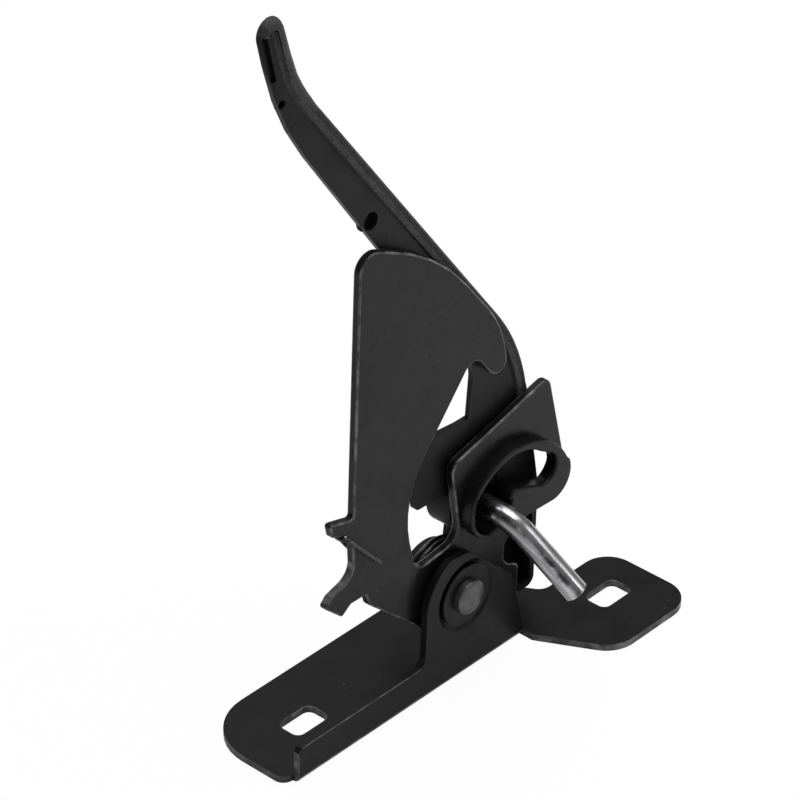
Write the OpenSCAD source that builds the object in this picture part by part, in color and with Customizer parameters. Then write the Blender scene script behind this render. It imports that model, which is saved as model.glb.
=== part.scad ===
// Safety catch for a vehicle's front hood: a folded base, a sprung catch
// plate with its moulded release lever, and a bent guide rod.
// X runs along the base, Y from the folded flange to the back, Z up.
// The pivot axis lies along Y above the origin, and Z = 0 is the underside of the base.

/* [Base plate] */
// Thickness of the folded sheet
sheet_t = 2.5; // [2:0.1:3]
// Outer face of the flange in front of the origin
flange_y = 22.5; // [20:0.5:26]
// Rear edge of the arm behind the origin
arm_back = 18.7; // [16:0.1:30]
// Left end of the arm from the pivot axis
arm_end = 80.9; // [74:0.1:100]
// Right end of the lobe from the pivot axis
lobe_end = 80.3; // [77:0.1:100]
// Front edge of the lobe in front of the flange
lobe_out = 29.3; // [27:0.1:36]
// Height of the flange along the arm
flange_h = 13.2; // [10:0.1:16]
// Radius of the ear about the pivot
ear_r = 18.6; // [17:0.1:19]
// Length of a fixing slot
slot_l = 14; // [12:0.5:16]
// Width of a fixing slot
slot_w = 9; // [6.6:0.1:10]
// Distance of the left slot from the pivot axis
slot_left = 55.3; // [50:0.1:62]
// Distance of the right slot from the pivot axis
slot_right = 61.8; // [58:0.1:66]

/* [Pivot] */
// Height of the pivot axis above the underside
pivot_h = 31.3; // [30:0.1:34]
// Diameter of the rivet's shank
shank_d = 8; // [6:0.5:9]
// Diameter of the rivet's front head
head_d = 12; // [10.5:0.5:16]
// Depth of the round recess pressed into the ear
recess_d = 1.5; // [1:0.1:2]
// Radius of the recess's flat floor
recess_r = 11; // [9.5:0.1:11.4]
// Thickness of the washer that fills the recess under the rivet's head
seat_t = 1.6; // [1:0.1:2]
// Wall of the steel bush in the lever's hub
bush_t = 1.5; // [1:0.1:2]

/* [Catch plate] */
// Thickness of the catch plate
catch_t = 3; // [2.5:0.1:4]
// Radial clearance of the turning plate and bush on the rivet
run_gap = 0.05; // [0.02:0.01:0.09]
// Side clearance between the stacked pieces
side_gap = 0.2; // [0.1:0.05:0.3]

/* [Release lever] */
// Depth of the lever from its front rim to its back
lever_depth = 11; // [10:0.5:14]
// Thickness of the lever's web
web_t = 2; // [1.6:0.1:2.4]
// How far the arm's web lies behind the front of its rim
web_step = 1; // [0.5:0.1:1.5]
// Depth of the rim along the arm
rim_depth = 5.5; // [4:0.5:8]
// Thickness of the tray's walls
wall_t = 2.2; // [1.5:0.1:3]
// Number of ribs behind the arm
ribs = 7; // [3:1:10]

/* [Guide collar and rod] */
// How far the collar stands proud of the catch plate
lip_h = 4.4; // [3:0.1:5]
// Wall of the collar's neck through the catch plate
neck_t = 1; // [0.8:0.1:1.3]
// Diameter of the guide rod
rod_d = 8; // [6:0.5:9]
// Radius of the rod's bend at its centre line
rod_bend_r = 13; // [10:0.5:18]
// Angle of the rod's bend
rod_bend = 56; // [40:1:65]
// Straight length of the rod's tail
rod_tail = 25.3; // [15:0.1:40]
// Lean of the rod's tail about its own shank
rod_lean = 23; // [0:1:30]

/* [Spring] */
// Diameter of the spring's wire
wire_d = 1.8; // [1.4:0.1:1.9]
// Mean radius of the coil
coil_r = 14.5; // [14:0.1:16]

/* [Hidden] */
$fn = 48;
eps = 0.01;

// Stations along Y, from the flange's outer face to the back of the rivet
face_y = -flange_y;
ear_y = face_y + sheet_t;
recess_y = face_y + recess_d;
catch_y = ear_y + recess_d + side_gap + 0.1;
catch_back = catch_y + catch_t;
lever_y = catch_back + side_gap;
lever_back = lever_y + lever_depth;
foot_t = 2.5;
foot_y = lever_back - foot_t;
washer_t = 1.2;
washer_y = lever_back + side_gap / 2;
tail_y = washer_y + washer_t;
lip_y = catch_y - lip_h;

shank_r = shank_d / 2;
bush_r = shank_r + run_gap + bush_t;
hub_r = 12.5;
rod_r = rod_d / 2;
wire_r = wire_d / 2;
seat_gap = 0.1;

// Sheet metal
bend_r = 3;
slope_w = 2.2;

// The round seat of the rod, the collar's side, top and far end, from the pivot axis
seat = [12, 26.7];
seat_r = 8.4;
hole_seat = [12.7, 26.5];
hole_seat_r = 8.7;
side_at = [16, 27.6];
side_r = 11.9;
crown = [22.3, 21.8];
crown_r = 20.2;
far = [37.4, 29.6];
far_r = 5.5;
far_wide = 3;
bump = [23.2, 25.6];
bump_r = 3.2;
end_c = [41.3, 24.2];
end_r = 9;
lip_side_r = 14.2;
lip_crown = [24, 17.1];
lip_crown_r = 27.1;
lip_seat = [12.7, 26.3];
lip_seat_r = 10.1;

// Points along a circle from angle a to angle b
function arc(c, r, a, b, n = 12) =
    [for (i = [0 : n]) let (t = a + (b - a) * i / n) c + r * [cos(t), sin(t)]];

// A closed outline whose corners [x, z, radius] are rounded to their radius
function unit(v) = v / norm(v);
function fillet(a, b, c, r) =
    let (
        u = unit(a - b),
        v = unit(c - b),
        half = acos(u * v) / 2,
        mid = b + unit(u + v) * r / sin(half),
        p = b + u * r / tan(half),
        q = b + v * r / tan(half),
        from = atan2(p[1] - mid[1], p[0] - mid[0]),
        to = atan2(q[1] - mid[1], q[0] - mid[0]),
        turn = (to - from + 540) % 360 - 180
    )
    arc(mid, r, from, from + turn, max(2, ceil(abs(turn) / 9)));
function xz(p) = [p[0], p[1]];
function rounded(pts) =
    let (n = len(pts))
    [for (i = [0 : n - 1])
        let (a = xz(pts[(i + n - 1) % n]), b = xz(pts[i]), c = xz(pts[(i + 1) % n]))
        each (pts[i][2] > 0 ? fillet(a, b, c, pts[i][2]) : [b])];

// A drawing in X and Z, made solid from y0 to y1
module slab(y0, y1) {
    translate([0, y1, 0])
        rotate([90, 0, 0])
            linear_extrude(y1 - y0)
                children();
}

// A round bar along Y from y0 to y1, at [x, z]
module bar(c, r, y0, y1) {
    translate([c[0], y1, c[1]])
        rotate([90, 0, 0])
            cylinder(r = r, h = y1 - y0);
}

// A cone along Y that goes from radius r0 at y0 to radius r1 at y1
module cone(c, r0, r1, y0, y1) {
    translate([c[0], y1, c[1]])
        rotate([90, 0, 0])
            cylinder(r1 = r1, r2 = r0, h = y1 - y0);
}

module at_pivot() {
    translate([0, 0, pivot_h])
        children();
}

// Base plate: arm, flange, ear and lobe folded from one sheet

module slot(x, y) {
    translate([x, y, -1])
        linear_extrude(sheet_t + 2)
            polygon(rounded([
                [-slot_l / 2, -slot_w / 2, 2.6], [slot_l / 2, -slot_w / 2, 2.6],
                [slot_l / 2, slot_w / 2, 2.6], [-slot_l / 2, slot_w / 2, 2.6]
            ]));
}

module base_flat() {
    lobe_y = face_y - lobe_out;
    linear_extrude(sheet_t)
        polygon(rounded([
            [-arm_end, arm_back, 20], [-arm_end, face_y + 3.6, 4],
            [-arm_end + 4, face_y + bend_r, 0], [28, face_y + bend_r, 0],
            [28, face_y - 4, 1.5], [41.5, lobe_y, 12], [lobe_end, lobe_y, 10.5],
            [lobe_end, face_y + 9.2, 10], [49, face_y + 9.2, 5], [30, arm_back, 8]
        ]));
}

// The quarter-round fold between the flat and the flange
module base_fold() {
    left = arm_end - 4;
    translate([-left, face_y + bend_r, bend_r])
        rotate([90, 0, 90])
            linear_extrude(left + 28)
                intersection() {
                    difference() {
                        circle(r = bend_r);
                        circle(r = bend_r - sheet_t);
                    }
                    translate([-bend_r, -bend_r])
                        square(bend_r);
                }
}

module ear_outline() {
    top = pivot_h + ear_r - 1.6;
    polygon(concat(
        [[-arm_end + 4, bend_r], [-arm_end + 4, flange_h - 1.5], [-arm_end + 5.5, flange_h]],
        arc([-ear_r - 4.6, flange_h + 4], 4, -90, 0, 6),
        arc([0, pivot_h], ear_r, 184, 112, 14),
        arc([-1.6, top - 6.4], 6, 98, 46, 6),
        arc([18.3, 25.9], 4, 46, 8, 5),
        [[28, bend_r]]
    ));
}

module base_plate() {
    color("#17171a")
        difference() {
            union() {
                base_flat();
                base_fold();
                slab(face_y, ear_y)
                    ear_outline();
                intersection() {
                    at_pivot()
                        cone([0, 0], recess_r + slope_w, recess_r + 1, ear_y - sheet_t / 2, ear_y + recess_d);
                    slab(face_y, catch_y)
                        ear_outline();
                }
            }
            at_pivot()
                cone([0, 0], recess_r + 2 * slope_w, recess_r, face_y - recess_d, recess_y);
            at_pivot()
                bar([0, 0], shank_r, face_y - 1, catch_y);
            slot(-slot_left, face_y + 19.2);
            slot(slot_right, face_y - 7.7);
            translate([anchor_x, coil_back, -1])
                cylinder(r = wire_r + 0.2, h = sheet_t + 2);
        }
}

// Shouldered rivet: domed front head, shank and flat rear head

module pivot_rivet() {
    head_r = head_d / 2;
    rim = 1.8;
    dome = 1.4;
    seat_y = recess_y - seat_t;
    color("#3c3d40")
        at_pivot()
            translate([0, seat_y, 0])
                rotate([90, 0, 0])
                    rotate_extrude()
                        polygon(concat(
                            [[0, seat_y - tail_y - 2.2], [7, seat_y - tail_y - 2.2],
                            [7.6, seat_y - tail_y - 1.6], [7.6, seat_y - tail_y],
                            [shank_r, seat_y - tail_y], [shank_r, 0], [head_r, 0], [head_r, rim]],
                            [for (t = [15 : 15 : 90]) [head_r * cos(t), rim + dome * sin(t)]]
                        ));
}

module head_washer() {
    color("#2b2b2d")
        at_pivot()
            difference() {
                bar([0, 0], recess_r - 0.1, recess_y - seat_t, recess_y);
                bar([0, 0], shank_r, recess_y - seat_t - 1, recess_y + 1);
            }
}

module pivot_washer() {
    color("#8d9094")
        at_pivot()
            difference() {
                bar([0, 0], 9, washer_y, tail_y);
                bar([0, 0], shank_r, washer_y - 1, tail_y + 1);
            }
}

module pivot_bush() {
    color("#a3a6aa")
        at_pivot()
            difference() {
                bar([0, 0], bush_r, lever_y, lever_back);
                bar([0, 0], shank_r + run_gap, lever_y - 1, lever_back + 1);
            }
}

// Outlines of the kidney-shaped collar, all set out from its hole

// The hole's outline, grown by o, and at its far end by e more
function kidney(o, e = 0) = concat(
    arc(side_at, side_r + o, 186, 139, 8),
    arc(crown, crown_r + o, 136, 50, 14),
    arc(far + e * [0.5, -0.45], far_r + e / 2 + o, 52, -105, 12),
    arc(bump, bump_r - o / 2, 65, 165, 6),
    arc(hole_seat, hole_seat_r + o, -5, -174, 16)
);

// The collar's outside, with its heavier far end
function collar_outline() = concat(
    arc(side_at, lip_side_r, 197, 129, 10),
    arc(lip_crown, lip_crown_r, 126, 26, 20),
    arc(end_c, end_r, 21, -85, 10),
    arc(lip_seat, lip_seat_r, -80, -150, 8)
);

// Catch plate: sail, mouth, nose and two tabs blanked from one sheet

// The heel stops on the base
heel_z = sheet_t + 0.1 - pivot_h;

// The plate's outline from the pivot axis, round the sail, the mouth and the nose
catch_pts = [
    // lower edge, from the heel to the lower tab
    [28.5, heel_z, 1.5], [15, heel_z, 1.5], [9, -14, 5], [-6, -16, 10],
    [-40.4, 15.6, 2], [-41.8, 20.3, 1], [-48.6, 20.4, 1],
    // lower tab, the arc above it and the notch for the spring
    [-52.6, 17.6, 1], [-60.2, 24.6, 1], [-57.4, 27.4, 1.5], [-47.2, 30.4, 6],
    [-47.8, 45.6, 1],
    // upper tab
    [-56.6, 49.4, 1], [-57.6, 54.4, 1], [-47.2, 51.6, 1],
    // sail and its beak
    [-43.2, 144.6, 6], [-10.3, 130.6, 88], [20.5, 90.6, 42], [23.9, 70.2, 3.8],
    [15.6, 74.2, 4], [7.4, 85.2, 4.5],
    // mouth
    [-25.4, 46.5, 34], [-18.8, 16.9, 5.5], [1.5, 19.4, 6], [-2.4, 45.6, 2],
    // nose and right-hand edge
    [-0.8, 48.8, 3], [43.6, 60.2, 3.4], [51.5, 26, 10], [46, 12.5, 8], [27.5, 10, 5],
    [22.6, 5.4, 6], [23, -2, 5], [30.2, -5.6, 3]
];

module catch_plate() {
    color("#1b1b1d")
        at_pivot()
            difference() {
                slab(catch_y, catch_back)
                    polygon(rounded(catch_pts));
                slab(catch_y - 1, catch_back + 1)
                    polygon(kidney(neck_t + seat_gap, far_wide));
                bar([0, 0], shank_r + run_gap, catch_y - 1, catch_back + 1);
            }
}

// Guide collar: a moulded lip on the plate with a neck through its window

module guide_collar() {
    color("#141414")
        at_pivot()
            difference() {
                union() {
                    slab(lip_y, catch_y)
                        polygon(collar_outline());
                    slab(catch_y - eps, catch_back + side_gap / 2)
                        polygon(kidney(neck_t, far_wide));
                    bar(seat, seat_r + neck_t, catch_back, lever_y + 4);
                }
                slab(lip_y - 1, catch_y + 0.5)
                    polygon(kidney(0));
                slab(catch_y, catch_back + 1)
                    polygon(kidney(-0.05, far_wide));
                bar(seat, seat_r, catch_back - 1, lever_y + 5);
            }
}

// Release lever: arm, bent head, tray, hub and rod boss moulded in one

oval_at = [-34.5, 149.7];

// The arm's outline from the pivot axis
arm_pts = [
    [-79.7, 231.6, 5], [-69.9, 231.6, 4.3], [-63.3, 206.6, 60], [33.3, 76.7, 75],
    [39, 44, 0], [8, 50, 0], [12.1, 76.3, 12], [-72.3, 198.2, 100]
];

// The raised rim along its upper edge
rim_pts = [
    [-74.6, 231.6, 0], [-69.9, 231.6, 4.3], [-63.3, 206.6, 60], [33.3, 76.7, 75],
    [39, 44, 0], [34.8, 44, 0], [29.2, 75.6, 70], [-67.4, 205, 60]
];

// Its deeper part, which ends below the head
skirt_pts = concat([[-71.7, 220, 0], [-66.8, 220, 0]], [for (i = [2 : 7]) rim_pts[i]]);

// The tray's outline, from the arm's root down to the toe
tray_pts = [
    [-15, 60.6, 2], [5, 58.6, 0], [37, 58.6, 0], [43.8, 16.7, 40], [42.6, -21.9, 3.5],
    [35, -21.9, 3], [27, -9, 6], [6, -9, 0], [9, 10, 0], [11, 24, 0], [3, 33, 0],
    [-2, 35.4, 0], [-15, 35.8, 2]
];

// The tray's pocket, open at the left and below
pocket_pts = [
    [-15 + wall_t, 60.4 - wall_t, 0], [36.8 - wall_t, 58.6 - wall_t, 0], [43.8 - wall_t, 16.7, 40],
    [42.6 - wall_t, -19.7, 1.5], [36.2, -19.7, 1.5], [28.9, -7.9, 0], [26.5, -5.5, 0],
    [24, -12, 0], [0, -12, 0], [0, 35.4 + wall_t, 0],
    [-15 + wall_t, 35.8 + wall_t, 0]
];

module rib(i) {
    along = (i + 0.5) / ribs;
    foot = [-62, 198] + along * [82, -112];
    translate([foot[0], 0, foot[1]])
        rotate([0, 36.7, 0])
            slab(lever_y + web_step + web_t - 0.5, lever_y + rim_depth - 0.5)
                translate([-6, -0.8])
                    square([9, 1.6]);
}

module release_lever() {
    web_y = lever_y + web_step;
    color("#1d1d1f")
        at_pivot()
            difference() {
                union() {
                    // arm: web, rim along its upper edge and ribs behind
                    slab(web_y, web_y + web_t)
                        polygon(rounded(arm_pts));
                    slab(lever_y, web_y + web_t)
                        polygon(rounded(rim_pts));
                    slab(web_y + 0.5, lever_y + rim_depth)
                        polygon(rounded(skirt_pts));
                    for (i = [0 : ribs - 1])
                        rib(i);
                    // tray with its pocket towards the plate
                    difference() {
                        slab(lever_y, lever_back)
                            polygon(rounded(tray_pts));
                        slab(lever_y - 1, foot_y)
                            polygon(rounded(pocket_pts));
                    }
                    // inner web behind the collar, boss of the oval hole, boss round the rod and hub
                    slab(lever_y + 1.2, lever_y + 3.4)
                        polygon([[22, 57.5], [37, 57.5], [42.6, 22], [34, 16], [24, 20]]);
                    bar(oval_at, 4, web_y + web_t - 0.5, web_y + web_t + 2.5);
                    bar(seat, seat_r + neck_t + seat_gap + 1.4, lever_y, lever_back);
                    bar([0, 0], hub_r, lever_y, lever_back);
                }
                // pockets and holes
                difference() {
                    bar(seat, seat_r + neck_t + seat_gap, lever_y - 1, foot_y);
                    bar(seat, rod_r + 2, lever_y + 4, foot_y + 1);
                }
                bar(seat, rod_r + seat_gap / 2, lever_y - 1, lever_back + 1);
                bar([0, 0], bush_r + seat_gap / 2, lever_y - 1, lever_back + 1);
                slab(lever_y - 1, lever_y + 3)
                    polygon(rounded([
                        [-77.9, 228, 0.7], [-76.1, 228, 0.7], [-72.3, 211.4, 0.7], [-74.1, 211.4, 0.7]
                    ]));
                bar([-70.7, 203.5], 1.3, lever_y - 1, lever_back);
                bar(oval_at, 2.9, lever_y - 1, web_y + web_t + 1.5);
            }
}

// Guide rod: a straight shank, one bend and a cut tail

module guide_rod() {
    bend_y = lip_y - 1.7;
    bend_lap = 1.5;
    color("#c9cccf")
        at_pivot()
            translate([seat[0], 0, seat[1]])
                rotate([0, -rod_lean, 0]) {
                    bar([0, 0], rod_r, bend_y, lever_back + 3);
                    // the bend stands proud by a hair and laps over both straights
                    translate([0, bend_y, -rod_bend_r])
                        rotate([0, -90, 180])
                            rotate([0, 0, -bend_lap])
                                rotate_extrude(angle = rod_bend + 2 * bend_lap)
                                    translate([rod_bend_r, 0])
                                        circle(r = rod_r + 0.02);
                    translate([0, bend_y, -rod_bend_r])
                        rotate([rod_bend, 0, 0])
                            translate([0, 0, rod_bend_r])
                                rotate([90, 0, 0])
                                    cylinder(r = rod_r, h = rod_tail);
                }
}

// Push-on clip behind the lever that holds the rod

module rod_clip() {
    color("#6f7276")
        at_pivot()
            difference() {
                bar(seat, rod_r + 3.5, lever_back + seat_gap, lever_back + seat_gap + 1);
                bar(seat, rod_r + 0.05, lever_back, lever_back + 3);
            }
}

// Torsion spring: a helix on the hub with one leg in the base and one over the plate

coil_back = foot_y - wire_r - 0.2;
coil_front = catch_back + wire_r + 0.3;
hook_at = [-50.4, 45];
// The rear leg leaves the coil's lowest point and turns down into the base
anchor_x = 20;
leg_angle = atan2(hook_at[1], hook_at[0]) + acos(coil_r / norm(hook_at));
coil_turns = 3;
coil_sweep = 270 - leg_angle + 360 * coil_turns;
coil_steps = 90;
leg_front = catch_y - wire_r - 0.05;

function coil_point(i) =
    let (a = 270 - coil_sweep * i / coil_steps)
    [coil_r * cos(a), coil_back + (coil_front - coil_back) * i / coil_steps, coil_r * sin(a)];

spring_path = concat(
    [[anchor_x, coil_back, 1.3 - pivot_h], [anchor_x, coil_back, -coil_r - 1.6],
    [anchor_x - 0.5, coil_back, -coil_r - 0.5], [anchor_x - 1.6, coil_back, -coil_r]],
    [for (i = [0 : coil_steps]) coil_point(i)],
    [[hook_at[0] + 2, coil_front, hook_at[1] - 2], [hook_at[0] - 0.6, coil_front - 0.5, hook_at[1] + 0.6],
    [hook_at[0] - 1.4, (coil_front + leg_front) / 2, hook_at[1] + 1.2],
    [hook_at[0] - 0.6, leg_front + 0.5, hook_at[1] + 1], [hook_at[0] + 1.2, leg_front, hook_at[1] - 0.6],
    [-36.7, leg_front, 30.7]]
);

// A round wire swept along a path, as one closed skin
module wire(path, r, sides = 10) {
    n = len(path);
    function along(i) = unit(path[min(i + 1, n - 1)] - path[max(i - 1, 0)]);
    function side(i) =
        let (t = along(i), s = cross(t, [0, 1, 0]))
        norm(s) > 0.3 ? unit(s) : unit(cross(t, [0, 0, 1]));
    points = [for (i = [0 : n - 1])
        let (u = side(i), v = cross(along(i), u))
        for (k = [0 : sides - 1])
            path[i] + r * (cos(360 * k / sides) * u + sin(360 * k / sides) * v)];
    skin = [for (i = [0 : n - 2])
        for (k = [0 : sides - 1])
            [i * sides + k, i * sides + (k + 1) % sides,
            (i + 1) * sides + (k + 1) % sides, (i + 1) * sides + k]];
    polyhedron(points, concat(
        [[for (k = [sides - 1 : -1 : 0]) k]],
        skin,
        [[for (k = [0 : sides - 1]) (n - 1) * sides + k]]
    ));
}

module torsion_spring() {
    color("#2a2a2c")
        at_pivot()
            wire(spring_path, wire_r);
}

base_plate();
pivot_rivet();
head_washer();
pivot_washer();
pivot_bush();
catch_plate();
release_lever();
guide_collar();
guide_rod();
rod_clip();
torsion_spring();
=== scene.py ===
import bpy
import bmesh
import math
from mathutils import Matrix, Vector


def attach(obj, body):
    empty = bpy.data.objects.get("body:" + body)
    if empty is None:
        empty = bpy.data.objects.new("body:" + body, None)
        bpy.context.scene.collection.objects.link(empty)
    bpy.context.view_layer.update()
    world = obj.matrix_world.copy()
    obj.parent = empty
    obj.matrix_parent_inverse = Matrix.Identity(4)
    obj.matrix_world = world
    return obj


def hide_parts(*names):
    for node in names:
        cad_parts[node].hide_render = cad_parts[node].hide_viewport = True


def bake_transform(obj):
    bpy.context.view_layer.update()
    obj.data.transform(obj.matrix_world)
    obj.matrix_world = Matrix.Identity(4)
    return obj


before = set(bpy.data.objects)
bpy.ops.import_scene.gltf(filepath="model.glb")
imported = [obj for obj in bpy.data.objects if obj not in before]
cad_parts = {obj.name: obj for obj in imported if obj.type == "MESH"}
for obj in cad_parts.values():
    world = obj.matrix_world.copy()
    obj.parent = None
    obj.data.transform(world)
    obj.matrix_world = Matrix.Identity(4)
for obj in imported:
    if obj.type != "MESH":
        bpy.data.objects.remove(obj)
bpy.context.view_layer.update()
scene = bpy.context.scene
mm = 0.001
pivotHeight = 31.3
pivot = Vector((0, 0, pivotHeight)) * mm
print("frame loaded")

# Camera, floor and lights

cameraSet = {
    "place": (-0.769182, -0.702092, 0.781825),
    "ahead": (0.614205, 0.565582, -0.550335),
    "right": (0.67739, -0.735624, 0.0),
    "lens": 180,
    "sensor": 36,
    "clip": (0.05, 30),
}


def makeCamera():
    data = bpy.data.cameras.new("photoCamera")
    data.lens = cameraSet["lens"]
    data.sensor_width = cameraSet["sensor"]
    data.clip_start, data.clip_end = cameraSet["clip"]
    camera = bpy.data.objects.new("photoCamera", data)
    scene.collection.objects.link(camera)
    right = Vector(cameraSet["right"])
    back = -Vector(cameraSet["ahead"])
    up = back.cross(right)
    turn = Matrix((right, up, back)).transposed()
    camera.matrix_world = Matrix.Translation(cameraSet["place"]) @ turn.to_4x4()
    scene.camera = camera


lampSet = {
    "overhead": {"place": (0.3, 0.05, 1.3), "size": (1.1, 1.1), "power": 16},
    "leftFront": {"place": (-1.1, -0.7, 0.7), "size": (0.7, 0.9), "power": 1.2},
    "rear": {"place": (0.5, 1.3, 0.6), "size": (0.8, 0.8), "power": 3},
    "rightFront": {"place": (0.8, -1.2, 0.8), "size": (0.7, 0.8), "power": 5},
}
lampAim = (0, 0, 0.1)


def makeLamp(name, place, size, power):
    data = bpy.data.lights.new(name, "AREA")
    data.shape = "RECTANGLE"
    data.size, data.size_y = size
    data.energy = power
    lamp = bpy.data.objects.new(name, data)
    scene.collection.objects.link(lamp)
    ray = Vector(lampAim) - Vector(place)
    turn = ray.to_track_quat("-Z", "Y").to_matrix()
    lamp.matrix_world = Matrix.Translation(place) @ turn.to_4x4()


worldSet = {"light": 0.2, "seen": 1.0, "reflected": 0.05}


# How much of the white background a ray sees: all of it from the camera, less in gloss and glass
def backgroundShare(tree, reflected, whole=1.0):
    path = tree.nodes.new("ShaderNodeLightPath")
    share = None
    for ray, part in (("Is Camera Ray", whole), ("Is Glossy Ray", reflected),
                      ("Is Transmission Ray", reflected)):
        step = tree.nodes.new("ShaderNodeMath")
        step.operation = "MULTIPLY_ADD"
        tree.links.new(path.outputs[ray], step.inputs[0])
        if isinstance(part, float):
            step.inputs[1].default_value = part
        else:
            tree.links.new(part, step.inputs[1])
        step.inputs[2].default_value = 0.0
        if share:
            tree.links.new(share, step.inputs[2])
        share = step.outputs[0]
    return share


def makeWorld():
    world = bpy.data.worlds.new("studio")
    scene.world = world
    world.use_nodes = True
    tree = world.node_tree
    tree.nodes.clear()
    out = tree.nodes.new("ShaderNodeOutputWorld")
    mix = tree.nodes.new("ShaderNodeMixShader")
    soft = tree.nodes.new("ShaderNodeBackground")
    soft.inputs["Strength"].default_value = worldSet["light"]
    white = tree.nodes.new("ShaderNodeBackground")
    white.inputs["Strength"].default_value = worldSet["seen"]
    for back in (soft, white):
        back.inputs["Color"].default_value = (1, 1, 1, 1)
    tree.links.new(backgroundShare(tree, worldSet["reflected"]), mix.inputs["Fac"])
    tree.links.new(soft.outputs[0], mix.inputs[1])
    tree.links.new(white.outputs[0], mix.inputs[2])
    tree.links.new(mix.outputs[0], out.inputs[0])


# The floor's glow as gloss sees it is painted shade: dark near the object, brighter further out
floorSet = {
    "half": 6.0, "below": 0.0003, "colour": (0.9, 0.9, 0.9, 1), "whiten": 0.96,
    "reach": (0.05, 0.32), "reflected": (0.02, 0.4),  # metres from the origin, and what gloss sees there
}


def makeFloor():
    half = floorSet["half"]
    mesh = bpy.data.meshes.new("floor")
    corners = [(-half, -half, 0), (half, -half, 0), (half, half, 0), (-half, half, 0)]
    mesh.from_pydata(corners, [], [(0, 1, 2, 3)])
    floor = bpy.data.objects.new("floor", mesh)
    floor.location.z = -floorSet["below"]
    scene.collection.objects.link(floor)
    paper = bpy.data.materials.new("paleFloor")
    paper.use_nodes = True
    tree = paper.node_tree
    tree.nodes.clear()
    out = tree.nodes.new("ShaderNodeOutputMaterial")
    matt = tree.nodes.new("ShaderNodeBsdfDiffuse")
    matt.inputs["Color"].default_value = floorSet["colour"]
    glow = tree.nodes.new("ShaderNodeEmission")
    glow.inputs["Strength"].default_value = 1.0
    place = tree.nodes.new("ShaderNodeNewGeometry")
    away = tree.nodes.new("ShaderNodeVectorMath")
    away.operation = "LENGTH"
    tree.links.new(place.outputs["Position"], away.inputs[0])
    # Painted shade: gloss sees the floor darker near the object
    gloss = spread(tree, away.outputs["Value"], *floorSet["reflected"], *floorSet["reach"])
    mix = tree.nodes.new("ShaderNodeMixShader")
    tree.links.new(backgroundShare(tree, gloss, floorSet["whiten"]), mix.inputs["Fac"])
    tree.links.new(matt.outputs[0], mix.inputs[1])
    tree.links.new(glow.outputs[0], mix.inputs[2])
    tree.links.new(mix.outputs[0], out.inputs[0])
    mesh.materials.append(paper)


# A value from fromLow to fromHigh, carried over to low to high
def spread(tree, value, low, high, fromLow=0.35, fromHigh=0.65):
    node = tree.nodes.new("ShaderNodeMapRange")
    node.inputs["From Min"].default_value = fromLow
    node.inputs["From Max"].default_value = fromHigh
    node.inputs["To Min"].default_value = low
    node.inputs["To Max"].default_value = high
    tree.links.new(value, node.inputs["Value"])
    return node.outputs["Result"]


makeCamera()
for lampName, lampFacts in lampSet.items():
    makeLamp(lampName, **lampFacts)
makeWorld()
makeFloor()
scene.view_settings.view_transform = "Standard"
print("camera, lamps and floor made")

# Finishes


def newFinish(name, colour, roughness, metal, specular):
    finish = bpy.data.materials.new(name)
    finish.use_nodes = True
    tree = finish.node_tree
    skin = tree.nodes["Principled BSDF"]
    skin.inputs["Base Color"].default_value = (*colour, 1)
    skin.inputs["Roughness"].default_value = roughness
    skin.inputs["Metallic"].default_value = metal
    skin.inputs["Specular IOR Level"].default_value = specular
    return finish, tree, skin


# Noise over the piece's own space, unless another place is given
def noise(tree, scale, detail, roughness=0.5, place=None):
    place = place or tree.nodes.new("ShaderNodeTexCoord").outputs["Object"]
    grain = tree.nodes.new("ShaderNodeTexNoise")
    grain.inputs["Scale"].default_value = scale
    grain.inputs["Detail"].default_value = detail
    grain.inputs["Roughness"].default_value = roughness
    tree.links.new(place, grain.inputs["Vector"])
    return grain.outputs["Fac"]


def multiply(tree, first, second):
    node = tree.nodes.new("ShaderNodeMath")
    node.operation = "MULTIPLY"
    tree.links.new(first, node.inputs[0])
    tree.links.new(second, node.inputs[1])
    return node.outputs[0]


def addBump(tree, skin, heights):
    last = None
    for value, strength, depth in heights:
        bump = tree.nodes.new("ShaderNodeBump")
        bump.inputs["Strength"].default_value = strength
        bump.inputs["Distance"].default_value = depth
        tree.links.new(value, bump.inputs["Height"])
        if last:
            tree.links.new(last, bump.inputs["Normal"])
        last = bump.outputs["Normal"]
    tree.links.new(last, skin.inputs["Normal"])


def mixColour(tree, fac, first, second):
    node = tree.nodes.new("ShaderNodeMix")
    node.data_type = "RGBA"
    tree.links.new(fac, node.inputs[0])
    for socket, colour in ((node.inputs[6], first), (node.inputs[7], second)):
        if isinstance(colour, tuple):
            socket.default_value = (*colour, 1)
        else:
            tree.links.new(colour, socket)
    return node.outputs[2]


dustSet = {
    "colour": (0.11, 0.11, 0.11), "scale": 380, "reach": 0.10, "patchScale": 0.21, "patches": (0.68, 0.74),
}


# Fine dust specks, as pale dots a few tenths of a millimetre across
def specks(tree):
    where = tree.nodes.new("ShaderNodeTexCoord")
    cells = tree.nodes.new("ShaderNodeTexVoronoi")
    cells.inputs["Scale"].default_value = dustSet["scale"]
    cells.inputs["Randomness"].default_value = 1.0
    tree.links.new(where.outputs["Object"], cells.inputs["Vector"])
    near = spread(tree, cells.outputs["Distance"], 1.0, 0.0, dustSet["reach"] * 0.5, dustSet["reach"])
    patches = noise(tree, dustSet["scale"] * dustSet["patchScale"], 0.0)
    return multiply(tree, near, spread(tree, patches, 0.0, 1.0, *dustSet["patches"]))


# What a finish has unless its own dictionary says otherwise. "main" is the tone on the socket itself
plainSet = {
    "shade": 1.0, "metal": 0.0, "specular": 0.5, "main": 0, "mottleRange": (0.35, 0.65), "dusty": False,
}

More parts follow.
